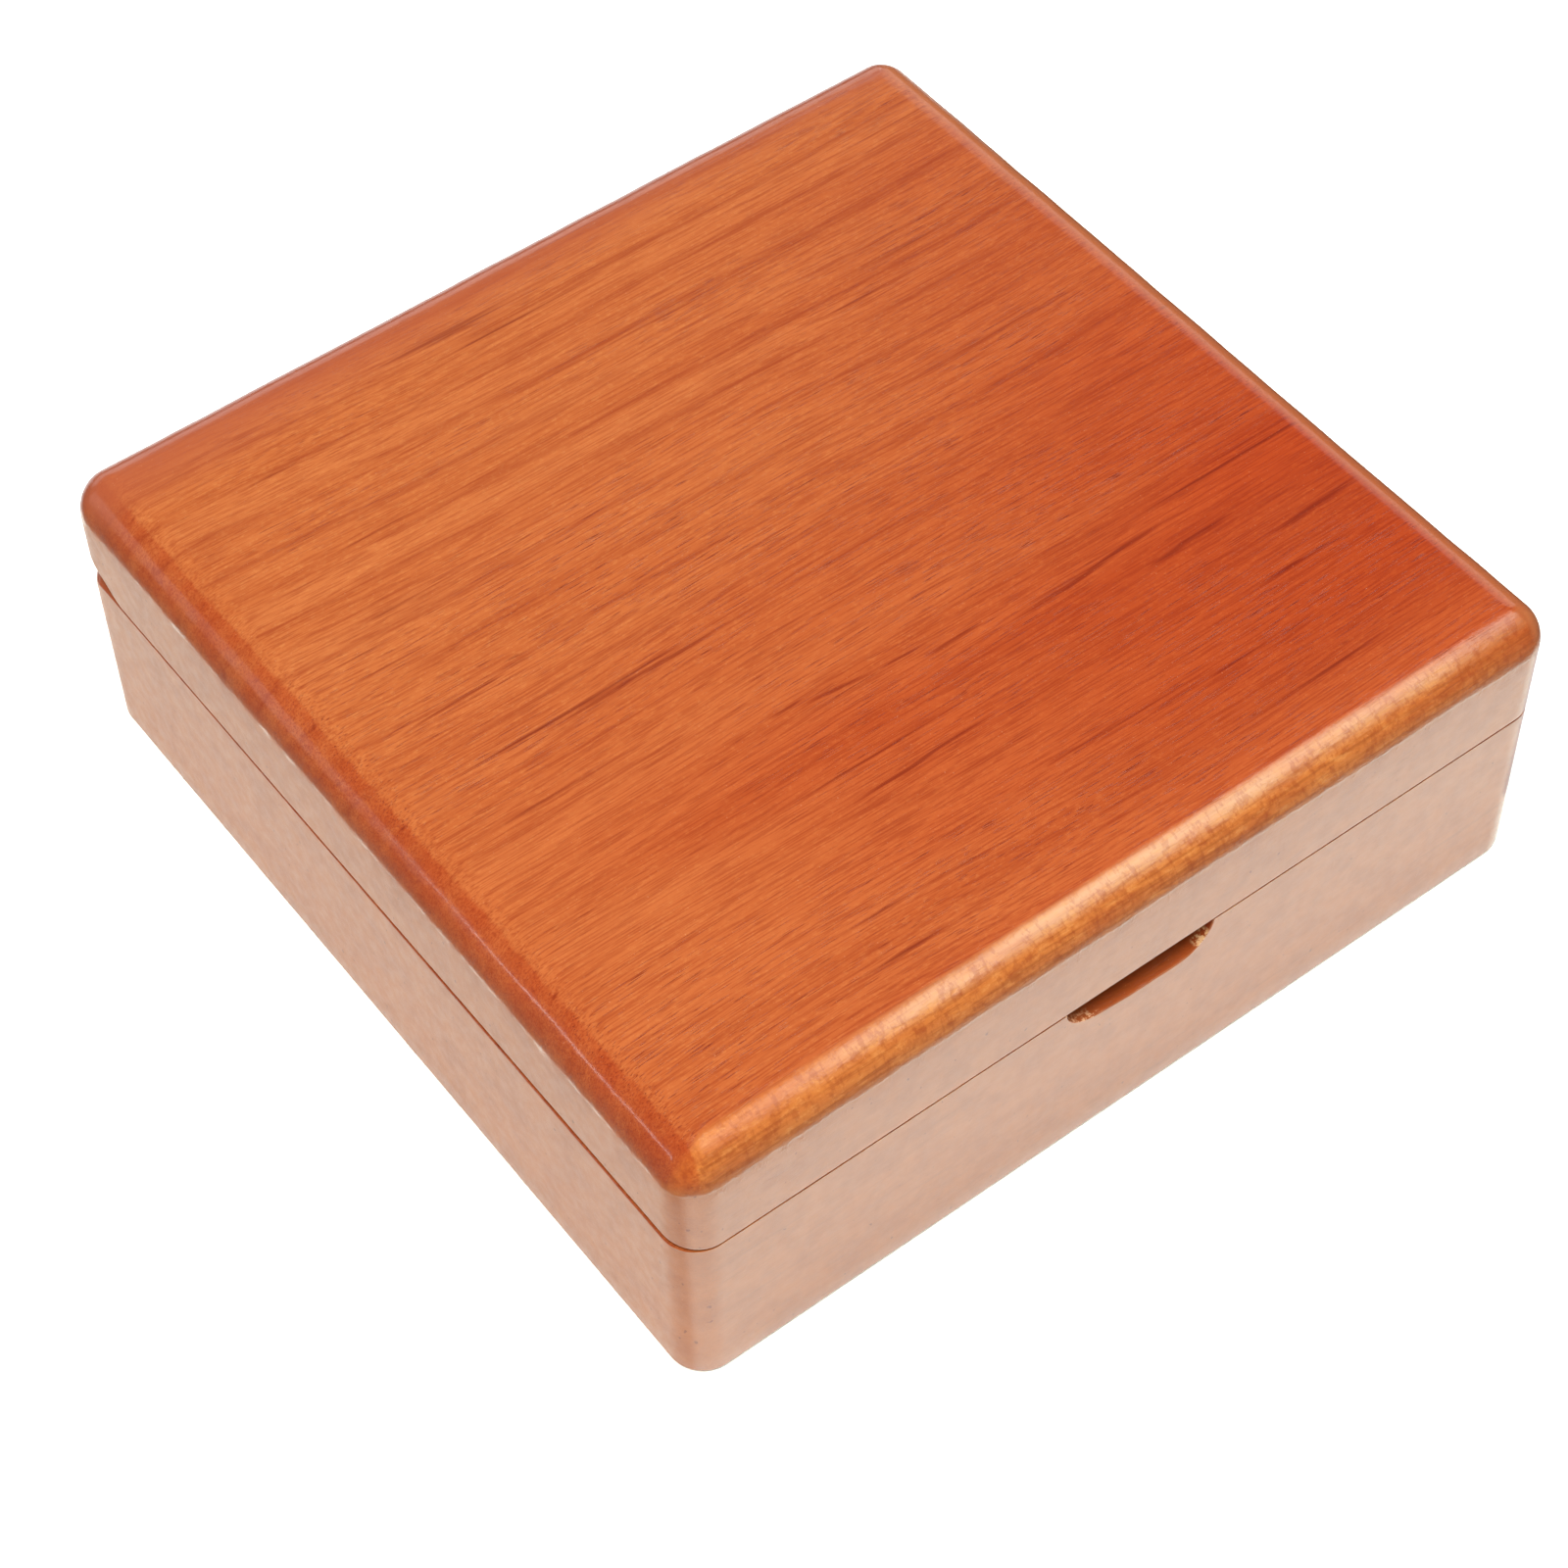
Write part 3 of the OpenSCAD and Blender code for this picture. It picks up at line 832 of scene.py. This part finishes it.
def worn_and_highlit_front_round(w):
    """The front round is sanded through, mottled orange and brown, with a painted pale highlight along its
    top that fades out towards the left end.
    """
    steep = w.math("ABSOLUTE", w.ny)
    worn = w.product(w.front_round, w.ramp(w.patch, 0.30, 0.62, 0.45, 1.0),
                     w.ramp(w.x, 48 * MM, 34 * MM, 0.35, 1.0))
    w.tint(w.product(worn, 0.9), WORN_ORANGE)
    # painted highlight: the pale band along the top of the round, fading out towards the left end
    w.tint(w.product(worn, w.past_left_end, w.ramp(steep, 0.74, 0.50), 0.85), PAINTED_HIGHLIGHT_PALE)

    mottle = w.product(w.ramp(w.ripple, 0.50, 0.66, 0.0, 0.54), w.ramp(steep, 0.35, 0.72, 0.10, 1.0))
    w.tint(w.product(w.front_round, mottle), MOTTLED_BROWN)
    fibre = w.noise(w.own, (1700, 700, 700), detail=3.0, roughness=0.65)
    w.tint(w.product(w.front_round, w.ramp(fibre, 0.48, 0.62, 0.0, 0.34)), DARK)
    lines = w.ramp(w.noise(w.own, (90, 2600, 2600), detail=3.0, roughness=0.6), 0.48, 0.64, 0.0, 0.50)
    w.tint(w.product(w.front_round, lines, w.ramp(steep, 0.45, 0.80, 0.4, 1.0)), LINED_BROWN)
    w.tint(w.product(worn, w.ramp(w.ripple, 0.48, 0.34, 0.0, 0.4)), WORN_YELLOW)


def darker_left_and_back_rounds(w):
    """Darker and more red on the left and back rounds, in patches."""
    darker_patches = w.ramp(w.patch, 0.30, 0.65, 0.60, 1.0)
    w.tint(w.product(w.back_or_left_round, darker_patches), LEFT_BACK_DARKENING, "MULTIPLY")


def painted_back_reflection(w):
    """A painted pinkish reflection along the back edge, laid over the grain, widest at the left."""
    ragged_y = w.total(w.y, w.product(w.cloud, 0.05))
    narrowing = w.product(w.math("SUBTRACT", w.x, BASE_LOW.x), 0.035)
    painted_reflection = w.ramp(w.math("SUBTRACT", ragged_y, narrowing), 38.5 * MM, 46.5 * MM, 0.0, 0.80)
    # painted reflection on the up-facing faces along the back edge
    w.tint(w.product(painted_reflection, w.ramp(w.nz, 0.20, 0.60)), PAINTED_REFLECTION_PINK)


def painted_right_round_highlight(w):
    """Painted highlight: the right round is a lighter orange than the top beside it."""
    right_round = w.product(w.ramp(w.nx, 0.10, 0.42), w.above_wall)
    # painted highlight along the right round
    w.tint(w.product(right_round, 0.65), PAINTED_HIGHLIGHT_ORANGE)


def upright_faces(w):
    """Plainer and a shade yellower than the top, with soft stains and small open pits, and painted light:
    the sides facing front and left take more of the plain colour than those facing right and back.
    """
    stain = w.noise(w.own, (260, 200, 260), detail=4.0, roughness=0.62)
    plain_wood = w.mix(w.ramp(stain, 0.35, 0.68), FACE_LIGHT, FACE_DARK)
    # painted light: the sides facing front and left get more of the plain colour
    plain_and_painted_light = w.ramp(w.total(w.nx, w.ny), -0.3, 0.5, 0.78, 0.42)
    w.tint(w.product(w.upright, plain_and_painted_light), plain_wood)
    pits = w.noise(w.own, (1500, 1500, 1100), detail=1.0)
    w.tint(w.product(w.ramp(pits, 0.72, 0.78, 0.0, 0.65), w.upright), DARKEST)


def notch_fibres_and_painted_light(w):
    """The notch's floor is darker and more red, as painted shade in the recess; its left end has torn
    fibres with painted highlights, and its right end a splinter with a painted reflection.
    """
    inside = w.product(w.ramp(w.y, -44.6 * MM, -45.2 * MM), w.ramp(w.z, 20.6 * MM, 20.2 * MM),
                       w.ramp(w.nz, 0.30, 0.70))
    # painted shade over the notch's floor
    w.tint(w.product(inside, 0.7), NOTCH_FLOOR_SHADE)

    torn = w.noise(w.own, (1500, 1500, 2200), detail=3.0, roughness=0.7)
    left_end = w.product(w.ramp(w.x, -3.6 * MM, -5.4 * MM), w.ramp(w.x, -9.2 * MM, -8.2 * MM),
                         w.ramp(w.y, -48.6 * MM, -49.8 * MM), w.ramp(w.nz, 0.30, 0.60))
    # torn fibres with painted highlights
    w.tint(w.product(left_end, w.ramp(torn, 0.50, 0.60)), TORN_FIBRE_HIGHLIGHT)
    right_end = w.product(w.ramp(w.x, 7.0 * MM, 7.4 * MM), w.ramp(w.x, 8.7 * MM, 8.3 * MM),
                          w.ramp(w.y, -48.8 * MM, -49.4 * MM), w.ramp(w.nz, 0.15, 0.35))
    # a splinter with a painted reflection
    w.tint(w.product(right_end, w.ramp(torn, 0.44, 0.54)), SPLINTER_REFLECTION)


def rubbed_rims(w):
    """The rims' outer edges are rubbed orange in places."""
    from_seam = w.math("ABSOLUTE", w.math("SUBTRACT", w.z, HINGE.z))
    places = w.ramp(w.noise(w.own, (90, 90, 600), detail=3.0), 0.50, 0.66, 0.0, 0.7)
    w.tint(w.product(w.ramp(from_seam, 0.35 * MM, 0.95 * MM, 1.0, 0.0), w.upright, places), RUBBED_ORANGE)


def dust(w):
    """Fine pale specks in the lacquer."""
    specks = w.noise(w.own, (5200, 5200, 5200), detail=1.0)
    w.tint(w.ramp(specks, 0.73, 0.80, 0.0, 0.25), PALE_DUST)


def lacquer(w):
    """A clear coat, thinner where it is worn and on end grain, but for blotches on the left round."""
    w.put(w.shader.inputs["Roughness"], w.ramp(w.peel, 0.3, 0.7, 0.42, 0.52))
    w.shader.inputs["Specular IOR Level"].default_value = 0.12
    w.shader.inputs["Coat Roughness"].default_value = 0.14
    w.shader.inputs["Coat IOR"].default_value = 1.5
    blotch = w.noise(w.own, (500, 330, 500), detail=3.0, roughness=0.6)
    blotch = w.product(w.back_or_left_round, w.end, w.ramp(blotch, 0.42, 0.62, 0.0, 0.70))
    coat = w.total(w.ramp(w.end, 0.0, 1.0, 0.85, 0.30), blotch)
    dull = w.product(w.front_round, w.inverse(w.past_left_end), 0.40)
    ragged_strip = w.product(w.front_round, w.ramp(w.ripple, 0.42, 0.60, 0.15, 0.0))
    worn_off = w.math("MAXIMUM", dull, ragged_strip)
    w.put(w.shader.inputs["Coat Weight"], w.math("SUBTRACT", coat, worn_off, clamp=True))


def relief(w):
    """Orange peel in the lacquer, the grain and pores under it, and ripples on the front round."""
    height = w.total(w.product(w.peel, 0.35), w.product(w.narrow, 0.08))
    height = w.math("SUBTRACT", height, w.product(w.pore_mask, 0.2))
    height = w.total(height, w.product(w.front_round, w.ripple, 1.2))
    normal = w.bump(height, 0.05 * MM)
    w.put(w.shader.inputs["Normal"], normal)
    w.put(w.shader.inputs["Coat Normal"], normal)


GRAIN = (base_grain, growth_rings, long_streaks)
# stain layers, with painted shade, highlights and reflections among them
STAIN_AND_PAINTED_LIGHT = (pores, painted_shade_front_right, worn_and_highlit_front_round, darker_left_and_back_rounds, painted_back_reflection, painted_right_round_highlight, upright_faces)
WEAR = (rubbed_rims, dust)


def wood_material(name, offset, layers):
    """Red-brown stained hardwood under lacquer, with its grain along X, from the bottom layer up."""
    w = Wood(name, offset)
    for add_layer in layers:
        add_layer(w)
    w.put(w.shader.inputs["Base Color"], w.colour)
    lacquer(w)
    relief(w)
    return w.material


def plain_metal(name, colour, roughness, waves):
    """Metal with fine scratches, waves to the metre, and darker stains."""
    g = Graph(name)
    where = g.place()
    scratch = g.noise(where, waves, detail=3.0, roughness=0.6)
    stain = g.noise(where, (260, 260, 260), detail=3.0)
    darker = tuple(c * 0.62 for c in colour[:3]) + (1,)
    g.put(g.shader.inputs["Base Color"], g.mix(g.ramp(stain, 0.45, 0.75, 0.0, 0.6), colour, darker))
    g.put(g.shader.inputs["Roughness"], g.ramp(scratch, 0.3, 0.7, roughness * 0.75, roughness * 1.35))
    g.shader.inputs["Metallic"].default_value = 1.0
    g.put(g.shader.inputs["Normal"], g.bump(scratch, 0.02 * MM))
    return g.material


def felt_material(name):
    """Near-black felt with single paler fibres and cloudy wear."""
    g = Graph(name)
    where = g.place()
    fibre = g.noise(where, (3800, 3800, 3800), detail=4.0, roughness=0.7)
    cloud = g.noise(where, (120, 120, 120), detail=3.0)
    colour = g.mix(g.ramp(fibre, 0.3, 0.7), FELT_DARK, FELT_LIGHT)
    colour = g.mix(g.ramp(cloud, 0.35, 0.7, 0.0, 0.4), colour, FELT_CLOUD)
    g.put(g.shader.inputs["Base Color"], colour)
    g.shader.inputs["Roughness"].default_value = 0.95
    g.shader.inputs["Sheen Weight"].default_value = 0.12
    g.shader.inputs["Sheen Roughness"].default_value = 0.5
    g.put(g.shader.inputs["Normal"], g.bump(fibre, 0.25 * MM))
    return g.material


def dress(node, material):
    """Gives a CAD node that stays in view its material."""
    slots = frame["nodes"][node].data.materials
    slots.clear()
    slots.append(material)


# ---- the build ----

make_camera()
make_stage()
make_light()

LID_WOOD = wood_material("lid_cherry", (0.0, 0.0, 0.0), GRAIN + (top_streaks,) + STAIN_AND_PAINTED_LIGHT + WEAR)
BASE_WOOD = wood_material("base_cherry", (0.31, 0.17, 0.05), GRAIN + STAIN_AND_PAINTED_LIGHT + (notch_fibres_and_painted_light,) + WEAR)
BRASS = plain_metal("brushed_brass", BRASS_COLOUR, 0.30, (900, 5200, 900))
NICKEL = plain_metal("nickel_plate", NICKEL_COLOUR, 0.36, (2500, 2500, 2500))
FELT = felt_material("dark_felt")

lid = make_lid()
cut_hinge_room(lid, LID_LOW.z, 1)
cut_magnet_holes(lid, LID_LOW.z, 1)
finish_wood(lid, LID_WOOD)
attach(lid, "lid")
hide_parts("lid")

base = make_base()
cut(base, notch_cutter())
cut_hinge_room(base, BASE_HIGH.z, -1)
cut_magnet_holes(base, BASE_HIGH.z, -1)
finish_wood(base, BASE_WOOD)
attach(base, "base")
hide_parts("base")

for body, low, high, nap_up, wood in (("base", BASE_FELT_LOW, BASE_FELT_HIGH, 1, base),
                                      ("lid", LID_FELT_LOW, LID_FELT_HIGH, -1, lid)):
    pad = make_felt(f"{body}_felt_pad", low, high, nap_up)
    pad.data.materials.append(FELT)
    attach(pad, body)
    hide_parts(f"{body}_felt")

for node in frame["nodes"]:
    if node.endswith("magnet"):
        dress(node, NICKEL)
    elif node not in ("lid", "base", "lid_felt", "base_felt"):
        dress(node, BRASS)
